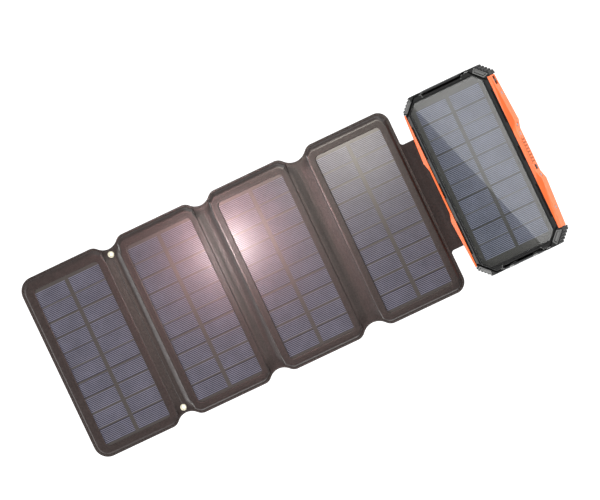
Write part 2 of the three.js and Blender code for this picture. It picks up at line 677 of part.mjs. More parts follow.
// The plate that holds the flap's tab in the recess under the power bank, and its two screws.
function addClamp() {
  const { x, halfW, z0, z1, screwY } = CLAMP;
  const half = FLAP_LENGTH / 2 - 1;
  const mouth = [z0 - 1, z0 + SCREW.headHeight + THIN_GAP];
  const holes = [1, -1].flatMap((s) => [
    upright(SCREW.headRadius + GAP, mouth, x, s * screwY),
    upright(SCREW.shankRadius + GAP, [z0 - 1, z1 + 1], x, s * screwY, 12),
  ]);
  const plate = block([x - halfW, x + halfW], [-half, half], [z0, z1]);
  add(bank, "clamp_plate", cut(plate, ...holes), "shell");
  for (const [k, s] of [1, -1].entries()) {
    const fastener = add(bank, `clamp_screw_${k + 1}`, screw(), "steel");
    fastener.rotation.y = Math.PI;
    fastener.position.set(x, s * screwY, z0);
  }
}

addStrip();
addBank();

export default charger;
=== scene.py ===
import json
import math

import bmesh
import bpy
from mathutils import Matrix, Vector


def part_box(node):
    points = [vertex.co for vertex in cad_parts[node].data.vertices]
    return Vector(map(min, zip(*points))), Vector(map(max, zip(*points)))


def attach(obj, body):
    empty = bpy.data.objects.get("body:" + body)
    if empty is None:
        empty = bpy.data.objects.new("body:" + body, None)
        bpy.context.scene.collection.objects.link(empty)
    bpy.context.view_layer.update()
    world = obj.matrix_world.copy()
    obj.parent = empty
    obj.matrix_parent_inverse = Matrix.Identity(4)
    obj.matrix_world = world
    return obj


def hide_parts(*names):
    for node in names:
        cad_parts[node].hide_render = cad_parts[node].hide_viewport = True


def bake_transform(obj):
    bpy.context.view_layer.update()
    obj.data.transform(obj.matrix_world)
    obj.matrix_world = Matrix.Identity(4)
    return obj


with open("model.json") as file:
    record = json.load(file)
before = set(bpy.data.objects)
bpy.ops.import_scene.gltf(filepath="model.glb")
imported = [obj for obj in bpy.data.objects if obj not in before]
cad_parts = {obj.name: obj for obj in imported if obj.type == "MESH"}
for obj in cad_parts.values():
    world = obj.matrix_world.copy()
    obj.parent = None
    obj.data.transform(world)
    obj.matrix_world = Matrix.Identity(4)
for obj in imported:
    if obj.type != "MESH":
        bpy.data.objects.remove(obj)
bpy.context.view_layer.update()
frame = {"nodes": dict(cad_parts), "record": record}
MM = 0.001

# ---- places, from the frame, in mm


def box_mm(node):
    low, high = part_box(node)
    return low / MM, high / MM


SEAM = 3.6  # the flat sewn edge round the pads
STRIP_LEFT = box_mm("panel_1_front_leather")[0].x - 0.6
STRIP_RIGHT = box_mm("panel_4_front_leather")[1].x
HALF_LENGTH = box_mm("panel_1_front_leather")[1].y + 0.4
PAD_LEFT = [box_mm(f"panel_{i}_front_leather")[0].x for i in (1, 2, 3, 4)]
PAD_RIGHT = [box_mm(f"panel_{i}_front_leather")[1].x for i in (1, 2, 3, 4)]
PAD_LEFT[0] += SEAM - 0.3
PAD_RIGHT[3] -= SEAM
FOLD_X = [(PAD_RIGHT[i] + PAD_LEFT[i + 1]) / 2 for i in range(3)]
# The pads beside the first fold stand a little to its right.
PAD_RIGHT[0] += 0.7
PAD_LEFT[1] += 1.2
BANK_X = sum(c.x for c in box_mm("front_frame")) / 2
BODY_HALF_W = box_mm("front_frame")[1].x - BANK_X
BODY_HALF_L = box_mm("front_frame")[1].y
BANK_TOP = box_mm("front_frame")[1].z

# ---- camera

SCALE_FIELD = 478.1  # width of the picture at the object, mm
TILT = math.radians(18.5)  # the view leans towards the power bank's side
ROLL = math.radians(25.4)  # and the strip climbs to the right
AIM = (6.35, 5.95)  # the middle of the picture, along the leaning X and along Y, mm
DISTANCE = 16000  # from the camera to the object, mm


def make_camera():
    along = Vector((math.cos(TILT), 0, -math.sin(TILT)))
    up_strip = Vector((0, 1, 0))
    back = along.cross(up_strip)
    right = math.cos(ROLL) * along - math.sin(ROLL) * up_strip
    up = math.sin(ROLL) * along + math.cos(ROLL) * up_strip
    place = (AIM[0] * along + AIM[1] * up_strip + DISTANCE * back) * MM
    data = bpy.data.cameras.new("camera")
    data.sensor_width = 36
    data.lens = data.sensor_width * DISTANCE / SCALE_FIELD
    data.clip_start, data.clip_end = 1, 60
    camera = bpy.data.objects.new("camera", data)
    turn = Matrix((right, up, back)).transposed()
    camera.matrix_world = Matrix.Translation(place) @ turn.to_4x4()
    bpy.context.scene.collection.objects.link(camera)
    bpy.context.scene.camera = camera


make_camera()

# ---- shader helpers


class Shader:
    """A principled material, built node by node."""

    def __init__(self, name, **settings):
        self.material = bpy.data.materials.new(name)
        self.material.use_nodes = True
        self.tree = self.material.node_tree
        self.bsdf = self.tree.nodes["Principled BSDF"]
        for key, value in settings.items():
            self.bsdf.inputs[key.replace("_", " ")].default_value = value

    def node(self, kind, **inputs):
        made = self.tree.nodes.new("ShaderNode" + kind)
        for key, value in inputs.items():
            socket = int(key[1:]) if key[0] == "i" and key[1:].isdigit() else key.replace("_", " ")
            self.feed(made.inputs[socket], value)
        return made

    def feed(self, socket, value):
        if isinstance(value, bpy.types.NodeSocket):
            self.tree.links.new(value, socket)
        else:
            socket.default_value = value

    def math(self, operation, a, b=0.0):
        made = self.node("Math", i0=a, i1=b)
        made.operation = operation
        return made.outputs[0]

    def place(self):
        return self.node("TexCoord").outputs["Object"]

    def noise(self, scale, detail=3.0, roughness=0.55, stretch=None):
        vector = self.place()
        if stretch:
            vector = self.node("VectorMath", i0=vector, i1=stretch)
            vector.operation = "MULTIPLY"
            vector = vector.outputs[0]
        made = self.node("TexNoise", Vector=vector, Scale=scale, Detail=detail, Roughness=roughness)
        return made.outputs["Fac"]

    def spots(self, scale):
        return self.node("TexVoronoi", Vector=self.place(), Scale=scale).outputs["Distance"]

    def ramp(self, factor, *stops):
        made = self.node("ValToRGB", Fac=factor)
        points = made.color_ramp.elements
        while len(points) < len(stops):
            points.new(0.5)
        for point, (position, color) in zip(points, stops):
            point.position = position
            point.color = (*color, 1) if isinstance(color, tuple) else (color, color, color, 1)
        return made.outputs["Color"]

    def mix(self, factor, a, b, blend="MIX"):
        made = self.node("Mix")
        made.data_type, made.blend_type = "RGBA", blend
        for socket, value in ((0, factor), (6, a), (7, b)):
            if isinstance(value, tuple) and len(value) == 3:
                value = (*value, 1)
            self.feed(made.inputs[socket], value)
        return made.outputs[2]

    def bump(self, *layers):
        """Bump layers, each (height, strength, distance in mm)."""
        normal = None
        for height, strength, distance in layers:
            made = self.node("Bump", Height=height, Strength=strength, Distance=distance * MM)
            if normal is not None:
                self.feed(made.inputs["Normal"], normal)
            normal = made.outputs["Normal"]
        self.feed(self.bsdf.inputs["Normal"], normal)

    def set(self, **values):
        for key, value in values.items():
            if isinstance(value, tuple) and len(value) == 3:
                value = (*value, 1)
            self.feed(self.bsdf.inputs[key.replace("_", " ")], value)
        return self


def srgb(code):
    """A colour from its hexadecimal web code."""
    values = [int(code[i : i + 2], 16) / 255 for i in (0, 2, 4)]
    return tuple(v / 12.92 if v <= 0.04045 else ((v + 0.055) / 1.055) ** 2.4 for v in values)


def shade(color, factor):
    return tuple(min(1.0, c * factor) for c in color)


# ---- materials


def leather(name, code, grain=1.0, rough=(0.36, 0.5), shine=0.3):
    s = Shader(name, Specular_IOR_Level=shine)
    base = srgb(code)
    clouds = s.ramp(s.noise(38, 4, 0.6), (0.3, shade(base, 0.82)), (0.7, shade(base, 1.2)))
    fleck = s.noise(640, 3, 0.75)
    pores = s.spots(1300)
    color = s.mix(s.ramp(fleck, (0.35, 0.0), (0.68, 1.0)), clouds, shade(base, 1.75))
    color = s.mix(s.ramp(pores, (0.1, 0.55), (0.5, 0.0)), color, shade(base, 0.5))
    s.bump((pores, 0.55 * grain, 0.14), (fleck, 0.5 * grain, 0.16), (s.noise(70, 3), 0.3, 0.6))
    s.set(Base_Color=color, Roughness=s.ramp(s.noise(260, 4), (0.3, rough[0]), (0.75, rough[1])))
    return s.material


def thread(name, code):
    s = Shader(name, Roughness=0.65, Sheen_Weight=0.3)
    base = srgb(code)
    twist = s.noise(3800, 2, 0.5, stretch=(1, 1, 0.4))
    s.set(Base_Color=s.ramp(twist, (0.3, shade(base, 0.7)), (0.7, shade(base, 1.25))))
    s.bump((twist, 0.6, 0.1))
    return s.material


def plastic(name, code, roughness, speckle=1.0, shine=0.45):
    s = Shader(name, Specular_IOR_Level=shine)
    base = srgb(code)
    clouds = s.noise(70, 4)
    grain = s.noise(2600, 2, 0.6)
    color = s.ramp(clouds, (0.3, shade(base, 0.9)), (0.7, shade(base, 1.1)))
    rough = s.ramp(s.noise(420, 3), (0.3, roughness - 0.05), (0.7, roughness + 0.07))
    s.bump((grain, 0.22 * speckle, 0.06))
    s.set(Base_Color=color, Roughness=rough)
    return s.material


def metal(name, code, roughness, stretch=(1, 1, 0.05), relief=0.15, metallic=1.0):
    s = Shader(name, Metallic=metallic)
    base = srgb(code)
    brushed = s.noise(2400, 2, 0.6, stretch=stretch)
    tone = s.noise(300, 3)
    s.set(Base_Color=s.ramp(tone, (0.3, shade(base, 0.82)), (0.7, shade(base, 1.08))))
    s.set(Roughness=s.ramp(brushed, (0.3, roughness - 0.08), (0.7, roughness + 0.1)))
    s.bump((brushed, relief, 0.04))
    return s.material


FINGER_PITCH = 1.36  # between the silver lines printed on a cell
FINGER_SHARE = 0.24  # how much of the pitch lies between a line's middle and its edge


def solar_cell(name, dark, light):
    """Silicon under a clear film: fine silver fingers along X, with crystal mottling."""
    s = Shader(name, Roughness=0.3, Specular_IOR_Level=0.35)
    split = s.node("SeparateXYZ", Vector=s.place())
    wave = s.math("FRACT", s.math("DIVIDE", split.outputs["Y"], FINGER_PITCH * MM))
    finger = s.math("LESS_THAN", s.math("ABSOLUTE", s.math("SUBTRACT", wave, 0.5)), FINGER_SHARE)
    crystal = s.node("TexVoronoi", Vector=s.place(), Scale=240.0)
    flake = s.node("SeparateColor", Color=crystal.outputs["Color"]).outputs[0]
    cloud = s.ramp(s.noise(60, 4), (0.3, 0.8), (0.7, 1.2))
    tint = s.mix(flake, shade(dark, 0.8), shade(dark, 1.3))
    s.set(Base_Color=s.mix(0.6, s.mix(finger, tint, light), cloud, "MULTIPLY"))
    s.bump((s.noise(700, 2), 0.1, 0.05))
    return s.material


def laminate(name, code):
    s = Shader(name, Roughness=0.32, Specular_IOR_Level=0.45)
    base = srgb(code)
    weave = s.noise(1500, 2)
    s.set(Base_Color=s.ramp(weave, (0.3, shade(base, 0.88)), (0.7, shade(base, 1.12))))
    s.bump((s.noise(500, 3), 0.12, 0.08))
    return s.material


def clear_glass(name):
    """Clear cover glass; the cells bonded under it carry its reflection."""
    s = Shader(name, Roughness=0.05, Specular_IOR_Level=0.5, Alpha=0.07)
    s.set(Base_Color=s.ramp(s.noise(35, 4), (0.3, (0.05, 0.06, 0.055)), (0.7, (0.08, 0.09, 0.085))))
    return s.material


def glazed(material):
    """The same material seen through bonded glass."""
    bsdf = material.node_tree.nodes["Principled BSDF"]
    bsdf.inputs["Coat Weight"].default_value = 1.0
    bsdf.inputs["Coat Roughness"].default_value = 0.0
    bsdf.inputs["Coat IOR"].default_value = 1.5
    return material


MAT = {
    "leather": leather("black_brown_leather", "2b2321"),
    "pressed": leather("pressed_leather", "2b2321", grain=0.25, rough=(0.3, 0.36), shine=0.5),
    "back": leather("back_leather", "2a2220", grain=1.2),
    # A touch darker than the front leather: painted shade of the flap beside the power bank.
    "flap": leather("flap_leather", "2a2220", grain=0.9),
    "thread": thread("dark_thread", "40362f"),
    "cell": solar_cell("panel_cell", (0.016, 0.015, 0.034), (0.205, 0.197, 0.24)),
    "laminate": laminate("panel_laminate", "4c4744"),
    "bank_cell": glazed(solar_cell("bank_cell", (0.014, 0.016, 0.035), (0.24, 0.26, 0.33))),
    "bank_laminate": glazed(laminate("bank_backing", "403f3c")),
    "glass": clear_glass("bank_glass"),
    "orange_grip": plastic("orange_plastic", "fb7138", 0.45, shine=0.3),
    # dark orange plates between the grip's ribs: painted shade in the grooves
    "rib": plastic("orange_painted_groove_shade", "a85a2c", 0.5, shine=0.1),
    "shell": plastic("black_shell", "272727", 0.42, shine=0.25),
    "rear_shell": plastic("black_rear_shell", "2a2a2b", 0.5, speckle=2.0),
    "guard_rubber": plastic("guard_rubber", "2b2b2b", 0.55, speckle=1.5, shine=0.12),
    "gasket": plastic("gasket_rubber", "161616", 0.4),
    "inset": plastic("grey_inset", "6f6f6e", 0.4),
    "end": plastic("end_rubber", "343536", 0.5, speckle=1.5),
    "lens": plastic("frosted_lens", "8c8d8b", 0.25, speckle=0.4),
    "stiff_board": plastic("board_plastic", "8c8c86", 0.6),
    # Pale cream and half metallic: partly the brass's own tone, partly a painted reflection of white
    # light.
    "brass": metal("brass", "f3ecd2", 0.42, stretch=(1, 1, 1), relief=0.05, metallic=0.35),
    "screw_steel": metal("zinc_steel", "a2a2a2", 0.35),
    "socket_steel": metal("nickel_steel", "c4c4c2", 0.28),
    "copper": metal("tinned_copper", "c98b63", 0.35, stretch=(0.05, 1, 1)),
    "circuit_board": plastic("solder_mask", "1f6a41", 0.35),
    "battery_foil": metal("battery_foil", "b5b6b8", 0.4, stretch=(1, 1, 1)),
}


MAT["seal_rubber"] = MAT["guard_rubber"]
MAT["button_plastic"] = MAT["shell"]


def finish_nodes():
    """Materials for the CAD nodes: those of their own slots, where there is one."""
    for entry in frame["record"]["subparts"]:
        if entry["material_slot"] in MAT:
            for slot in frame["nodes"][entry["node"]].material_slots:
                slot.link = "OBJECT"
                slot.material = MAT[entry["material_slot"]]


# ---- mesh helpers


class Builder:
    """Collects faces between rows of points, in mm, for one mesh."""

    def __init__(self):
        self.points, self.faces = [], []

    def loft(self, rows, closed=False):
        """Faces between rows. Seen from outside, each row lies to the left of the one before it."""
        made = []
        for points in rows:
            start = len(self.points)
            self.points.extend(points)
            made.append(list(range(start, len(self.points))))
        for low, high in zip(made, made[1:]):
            for i in range(len(low) if closed else len(low) - 1):
                j = (i + 1) % len(low)
                self.faces.append((low[i], low[j], high[j], high[i]))
        return made

    def solid(self, rows):
        """A loft closed round its sides and at both ends."""
        made = self.loft(rows, closed=True)
        self.faces += [tuple(made[0][::-1]), tuple(made[-1])]

    def turn(self, steps, section, place):
        """Turns a section all the way round; place makes a point of each radius, height and angle."""
        rows = [[place(*point, 2 * math.pi * k / steps) for point in section] for k in range(steps)]
        self.loft(rows + rows[:1])

    def make(self, name, material, smooth=True):
        """The mesh object, with the points that coincide joined."""
        mesh = bpy.data.meshes.new(name)
        mesh.from_pydata([(x * MM, y * MM, z * MM) for x, y, z in self.points], [], self.faces)
        bm = bmesh.new()
        bm.from_mesh(mesh)
        bmesh.ops.remove_doubles(bm, verts=bm.verts, dist=0.004 * MM)
        bm.to_mesh(mesh)
        bm.free()
        obj = bpy.data.objects.new(name, mesh)
        bpy.context.scene.collection.objects.link(obj)
        mesh.materials.append(material)
        for polygon in mesh.polygons:
            polygon.use_smooth = smooth
        return obj


def bevel(obj, width, segments=2, angle=25):
    made = obj.modifiers.new("bevel", "BEVEL")
    made.width = width * MM
    made.segments = segments
    made.limit_method = "ANGLE"
    made.angle_limit = math.radians(angle)
    made.harden_normals = True
    return obj


def level(outline, z):
    return [(x, y, z) for x, y in outline]


def rectangle(x0, x1, y0, y1):
    return [(x0, y0), (x1, y0), (x1, y1), (x0, y1)]


def tapered(name, low, z0, high, z1, material, smooth=False):
    """A solid between two outlines with equal numbers of points, listed anticlockwise."""
    b = Builder()
    b.solid([level(low, z0), level(high, z1)])
    return b.make(name, material, smooth)


def prism(name, outline, z0, z1, material, edge, segments=2):
    """An upright solid of an outline, with rounded edges."""
    return bevel(tapered(name, outline, z0, outline, z1, material, smooth=True), edge, segments)


def cut(obj, cutter):
    """Cuts one mesh with another, and throws the cutter away."""
    made = obj.modifiers.new("cut", "BOOLEAN")
    made.operation, made.solver, made.object = "DIFFERENCE", "EXACT", cutter
    bpy.context.view_layer.objects.active = obj
    bpy.ops.object.modifier_apply(modifier=made.name)
    bpy.data.objects.remove(cutter)


def drill(obj, place, radius, sides, turn=(0, 0, 0)):
    """Cuts a round hole through a piece: upright, or turned."""
    bpy.ops.mesh.primitive_cylinder_add(
        vertices=sides, radius=radius * MM, depth=0.02, location=Vector(place) * MM, rotation=turn
    )
    cut(obj, bpy.context.object)


def arc(cx, cy, radius, start, end, steps):
    made = []
    for i in range(steps + 1):
        a = math.radians(start + (end - start) * i / steps)
        made.append((cx + radius * math.cos(a), cy + radius * math.sin(a)))
    return made


def smoothstep(t):
    t = min(1.0, max(0.0, t))
    return t * t * (3 - 2 * t)


# ---- the strip's outline

CORNER_R = {-1: 12.3, 1: 10.0}  # at the strip's left end and at its right end
NOTCHES = [(FOLD_X[0], 15.3, 6.4, 9.0), (FOLD_X[1], 15.3, 6.4, 9.0), (FOLD_X[2], 17.2, 7.6, 9.5)]
HEM = 2.7  # from the edge to the foot of the pad
LONG_HEM = 0.74  # how much narrower the hem is along the long sides than across the ends


def edge_y(x, inset):
    """How far the strip reaches along Y at x, with its edge moved in by inset."""
    for centre, half, depth, corner in NOTCHES:
        off = abs(x - centre)
        if off >= half:
            continue
        both = (half**2 + depth**2) / (2 * depth)
        hollow = both - corner
        if off > (hollow + inset) * half / both:
            run = off - half
            return HALF_LENGTH - corner + math.sqrt(max(0.0, (corner - inset) ** 2 - run**2))
        return HALF_LENGTH - depth + hollow - math.sqrt((hollow + inset) ** 2 - off**2)
    return HALF_LENGTH - inset


def spaced(start, end, step):
    count = max(1, round(abs(end - start) / step))
    return [start + (end - start) * i / count for i in range(count + 1)]


# A station is a place on the strip's edge: a function that turns an inset into a point.


def upper_stations(x_from, x_to, step=0.8):
    """Along the upper edge from right to left."""
    return [lambda inset, x=x: (x, edge_y(x, LONG_HEM * inset)) for x in spaced(x_from, x_to, step)]


def corner_stations(cx, cy, radius, start, end, steps=14):
    made = []
    for i in range(1, steps):
        a = math.radians(start + (end - start) * i / steps)
        share = LONG_HEM + (1 - LONG_HEM) * math.cos(a) ** 2
        made.append(
            lambda inset, a=a, share=share: (
                cx + (radius - share * inset) * math.cos(a),
                cy + (radius - share * inset) * math.sin(a),
            )
        )
    return made


def end_stations(side):
    """Round one end of the strip: down it on the left (-1), and up it on the right (1)."""
    reach, radius = {-1: STRIP_LEFT, 1: STRIP_RIGHT}[side], CORNER_R[side]
    cx, cy = reach - side * radius, HALF_LENGTH - radius
    straight = [lambda inset, y=y: (reach - side * inset, y) for y in spaced(cy, -cy, 1.6)]
    if side < 0:
        upper = corner_stations(cx, cy, radius, 90, 180)
        return upper + straight + corner_stations(cx, -cy, radius, 180, 270)
    lower = corner_stations(cx, -cy, radius, -90, 0)
    return lower + straight[::-1] + corner_stations(cx, cy, radius, 0, 90)


def mirrored(stations):
    """The same places on the lower edge, from left to right."""
    return [lambda inset, s=s: (s(inset)[0], -s(inset)[1]) for s in stations[::-1]]


# Heights of the hem at each distance from the edge: front layer and back layer.
BASE = 1.55
HEM_FRONT = [
    (0.0, 1.05), (0.0, 1.3), (0.1, 1.42), (0.3, 1.5), (0.6, 1.54), (1.0, 1.53), (1.25, 1.48),
    (1.5, 1.45), (1.75, 1.48), (2.0, 1.53), (2.35, 1.55), (HEM, BASE),
]
HEM_BACK = [(inset, 2 - z) for inset, z in HEM_FRONT]
SIDE_COUNT = 60  # points along a pad's side at a fold


def side_fractions():
    """Shares of the way along a fold, closer together near its ends."""
    made = []
    for i in range(SIDE_COUNT + 1):
        swing = math.cos(math.pi * i / SIDE_COUNT)
        made.append(0.5 - 0.5 * swing * (0.6 + 0.4 * swing**2))
    return made


FRACTIONS = side_fractions()


def fold_side(x):
    """Points up a pad's edge at a fold, between the inner edges of the hems."""
    reach = edge_y(x, LONG_HEM * HEM)
    return [(x, -reach + 2 * reach * t) for t in FRACTIONS]


# How the leather of each fold runs up to its panels: (reach, rise) at its left and at its right.
RISE_LEFT = [(9.2, 2.0), (8.0, 1.58), (8.5, 1.5)]
RISE_RIGHT = [(5.1, 2.15), (7.0, 1.5), (8.5, 1.5)]
RISE_POWER = [1.5, 1.9, 1.3]  # how sharply it rises at its right
TAPER = 9.0  # how far from a fold's ends its rises flatten out


def fold_height(fold, x, y):
    """Front height of the fold's leather between the hems."""
    left, right = PAD_RIGHT[fold], PAD_LEFT[fold + 1]
    taper = smoothstep((edge_y(x, LONG_HEM * HEM) - abs(y)) / TAPER)
    middle = (x - left) / (right - left)
    reach, rise = RISE_LEFT[fold]
    along = (x - left) / reach
    if fold == 0:
        # The first fold is pulled into a shallow trough; the others stand up a little in the middle.
        height = -0.3 + rise * max(0.0, 1 - along)
    else:
        height = 0.2 * math.sin(math.pi * middle) ** 2 + rise * (1 - smoothstep(along))
    reach, rise = RISE_RIGHT[fold]
    height += rise * max(0.0, 1 - (right - x) / reach) ** RISE_POWER[fold]
    height -= 0.07 * math.exp(-(((x - left - 0.8) / 0.5) ** 2))
    wave = math.sin(x * 1.9 + 0.6 * math.sin(y * 0.11)) * math.sin(y * 0.045 + fold)
    height += 0.04 * wave * math.sin(math.pi * middle)
    return BASE + taper * height


# ---- panel leather

WINDOW = Vector((59.4, 138.1))
WINDOW_SHIFT = Vector((0.35, -1.25))  # from the middle of the pad
WINDOW_R = 3.2
PAD_TOP = 3.4
SHOULDER = [0.0, 0.12, 0.3, 0.5, 0.7, 0.9, 1.15, 1.4, 1.7]  # in from the pad's foot
# Back from the window's edge, and down from the pad's top.
LIP = [(2.6, 0.0), (1.5, 0.02), (0.7, 0.0), (0.25, -0.03), (0.1, -0.1), (0.02, -0.22), (0.0, -0.6)]


def window_point(panel, x, y):
    """The nearest place on the window's edge."""
    middle = Vector(((PAD_LEFT[panel] + PAD_RIGHT[panel]) / 2, 0)) + WINDOW_SHIFT
    half = WINDOW / 2
    inner = Vector((half.x - WINDOW_R, half.y - WINDOW_R))
    centre = Vector((
        min(middle.x + inner.x, max(middle.x - inner.x, x)),
        min(middle.y + inner.y, max(middle.y - inner.y, y)),
    ))
    way = (Vector((x, y)) - centre).normalized()
    return centre + WINDOW_R * way


def pad_loop(panel):
    """Stations round a panel, anticlockwise: its two edges, and the strip's ends where it has them."""
    x0 = STRIP_LEFT + CORNER_R[-1] if panel == 0 else PAD_LEFT[panel]
    x1 = STRIP_RIGHT - CORNER_R[1] if panel == 3 else PAD_RIGHT[panel]
    top = upper_stations(x1, x0)
    return top, end_stations(-1), mirrored(top), end_stations(1)


def hem_bands(panel):
    """The hem's stations in unbroken runs, in the loop's order."""
    top, left, bottom, right = pad_loop(panel)
    if panel == 0:
        return [top + left + bottom]
    if panel == 3:
        return [bottom + right + top]
    return [top, bottom]


def foot_ring(panel):
    """Points of the pad's foot, anticlockwise, each with the fold and fold side it lies on, or None."""
    at_left, at_right = (panel - 1, 1), (panel, 0)
    top, left, bottom, right = [[(place(HEM), None) for place in run] for run in pad_loop(panel)]
    if panel > 0:
        left = [(point, at_left) for point in fold_side(PAD_LEFT[panel])[::-1][1:-1]]
    if panel < 3:
        right = [(point, at_right) for point in fold_side(PAD_RIGHT[panel])[1:-1]]
    return top + left + bottom + right


def pad_rows(panel):
    """Rings from the pad's foot to the edge of its window."""
    feet = foot_ring(panel)
    rows = []
    for step in SHOULDER:
        row = []
        for (x, y), fold in feet:
            w = window_point(panel, x, y)
            base = BASE if fold is None else fold_height(fold[0], x, y)
            rise = math.sqrt(1 - (1 - step / SHOULDER[-1]) ** 2)
            across = Vector((x, y)) - w
            # The shoulder is broader along the upper side.
            slack = 1 + 1.4 * max(0.0, across.normalized().y)
            p = Vector((x, y)).lerp(w, slack * step / across.length)
            row.append((p.x, p.y, base + (PAD_TOP - base) * rise))
        rows.append(row)
    for back, drop in LIP:
        row = []
        for (x, y), _ in feet:
            w = window_point(panel, x, y)
            p = w.lerp(Vector((x, y)), back / (Vector((x, y)) - w).length)
            row.append((p.x, p.y, PAD_TOP + drop))
        rows.append(row)
    return rows


def panel_front(panel):
    b = Builder()
    for band in hem_bands(panel):
        b.loft([[(*place(inset), z) for place in band] for inset, z in [(HEM, 1.05)] + HEM_FRONT])
    start, feet = len(b.faces), foot_ring(panel)
    b.loft(pad_rows(panel), closed=True)
    made = b.make(f"panel_{panel + 1}_front", MAT["leather"])
    made.data.materials.append(MAT["pressed"])
    if panel == 0:
        return made
    # The press leaves a glossier line where the leather turns down round the pad.
    for row in range(1, len(SHOULDER) - 1):
        for k, (_, fold) in enumerate(feet):
            if fold is None or fold[1] == 1:
                made.data.polygons[start + row * len(feet) + k].material_index = 1
    return made


def panel_back(panel):
    b = Builder()
    for band in hem_bands(panel):
        rows = [[(*place(inset), z) for place in band] for inset, z in [(HEM, 0.95)] + HEM_BACK]
        b.loft(rows[::-1])
    feet = [point for point, _ in foot_ring(panel)]
    rows = []
    for step, z in ((0, 0.45), (0.5, 0.32), (1.0, 0.14), (1.5, 0.05), (2.2, 0.02), (4.0, 0.02)):
        row = []
        for x, y in feet:
            w = window_point(panel, x, y)
            p = Vector((x, y)).lerp(w, step / (Vector((x, y)) - w).length)
            row.append((p.x, p.y, z))
        rows.append(row)
    made = b.loft(rows[::-1], closed=True)
    b.faces.append(tuple(made[0][::-1]))
    return b.make(f"panel_{panel + 1}_back", MAT["back"])


# ---- folds

HEM_EDGE = HEM_FRONT[::-1] + [(0.14, 1.0)] + HEM_BACK


def fold_section(fold, x):
    """The closed section of a fold at x, anticlockwise seen from the right: front to back and round."""
    reach = edge_y(x, LONG_HEM * HEM)
    front = [-reach + 2 * reach * t for t in FRACTIONS]
    made = [(x, y, fold_height(fold, x, y)) for y in front]
    made += [(x, edge_y(x, LONG_HEM * inset), z) for inset, z in HEM_EDGE[1:]]
    made += [(x, y, 0.45) for y in front[::-1][1:]]
    made += [(x, -edge_y(x, LONG_HEM * inset), z) for inset, z in HEM_EDGE[::-1][1:-1]]
    return made


def fold_piece(name, fold, x0, x1):
    b = Builder()
    b.solid([fold_section(fold, x) for x in spaced(x0, x1, 0.5)])
    return b.make(name, MAT["leather"])


# ---- stitches

STITCH = {"inset": 1.5, "pitch": 2.9, "length": 2.1, "radius": 0.24}


def stitch_path():
    """Round the whole strip at the stitches' inset, anticlockwise from the upper right."""
    top = upper_stations(STRIP_RIGHT - CORNER_R[1], STRIP_LEFT + CORNER_R[-1], 0.5)
    stations = top + end_stations(-1) + mirrored(top) + end_stations(1)
    return [Vector(s(STITCH["inset"])) for s in stations]


def along_path(path, pitch):
    """Points and directions at even steps round a closed path."""
    made, carry = [], 0.0
    for a, b in zip(path, path[1:] + path[:1]):
        length = (b - a).length
        while carry < length:
            made.append((a.lerp(b, carry / length), (b - a).normalized()))
            carry += pitch
        carry -= length
    return made


def add_stitch(b, centre, way, z):
    """One short capsule of thread."""
    across = Vector((-way.y, way.x))
    rows = []
    half, radius = STITCH["length"] / 2, STITCH["radius"]
    for at, size in ((-half, 0.25), (-half + 0.2, 0.8), (0, 1.0), (half - 0.2, 0.8), (half, 0.25)):
        row = []
        for k in range(6):
            a = math.pi * k / 3
            p = centre + way * at + across * (radius * size * math.cos(a))
            row.append((p.x, p.y, z + radius * size * math.sin(a)))
        rows.append(row)
    b.solid(rows)


# Where each piece of the strip starts and ends along X.
SPANS = {
    "panel_1": (STRIP_LEFT, PAD_RIGHT[0]),
    "fold_12_left": (PAD_RIGHT[0], FOLD_X[0]),
    "fold_12_right": (FOLD_X[0], PAD_LEFT[1]),
    "panel_2": (PAD_LEFT[1], PAD_RIGHT[1]),
    "fold_23": (PAD_RIGHT[1], PAD_LEFT[2]),
    "panel_3": (PAD_LEFT[2], PAD_RIGHT[2]),
    "fold_34": (PAD_RIGHT[2], PAD_LEFT[3]),
    "panel_4": (PAD_LEFT[3], STRIP_RIGHT),
}


def stitches():
    """Stitches on both faces of the strip, one mesh for each piece of it."""
    places = along_path(stitch_path(), STITCH["pitch"])
    made = {}
    for name, (x0, x1) in SPANS.items():
        b = Builder()
        for centre, way in places:
            if x0 <= centre.x < x1:
                add_stitch(b, centre, way, 1.42)
                add_stitch(b, centre, way, 0.58)
        made[name] = b.make(f"stitches_{name}", MAT["thread"])
    return made


# ---- solar panels

CELL_SPAN = (65.1, -68.1)  # along Y
ROW_GAPS = [1.2, 1.6, 1.2, 0.7, 1.2, 1.6, 1.2, 1.6, 1.2]  # between the cells' rows, from the top
BUS_GAP = 3.4  # between the two columns


TILE_HEIGHT = 0.07


def tiles(name, columns, rows, z, material, edge=0.08):
    """Thin rectangles, one for each column and row."""
    b = Builder()
    top = z + TILE_HEIGHT
    for x0, x1 in columns:
        for y0, y1 in rows:
            whole = rectangle(x0, x1, y0, y1)
            inner = rectangle(x0 + edge, x1 - edge, y0 + edge, y1 - edge)
            made = b.loft([level(whole, z), level(whole, top - edge), level(inner, top)], closed=True)
            b.faces.append(tuple(made[-1]))
    return b.make(name, material, smooth=False)


def cell_rows(top, bottom, gaps):
    """Spans along Y between the printed gaps."""
    edges = [top]
    for k, gap in enumerate(gaps):
        line = top - (top - bottom) / (len(gaps) + 1) * (k + 1)
        edges += [line + gap / 2, line - gap / 2]
    edges.append(bottom)
    return [(edges[i + 1], edges[i]) for i in range(0, len(edges), 2)]


def rounded(low, high, radius):
    """A rectangle between two corners, with rounded corners."""
    x0, x1, y0, y1 = low.x + radius, high.x - radius, low.y + radius, high.y - radius
    made = []
    for x, y, start in ((x1, y1, 0), (x0, y1, 90), (x0, y0, 180), (x1, y0, 270)):
        made += arc(x, y, radius, start, start + 90, 6)
    return made


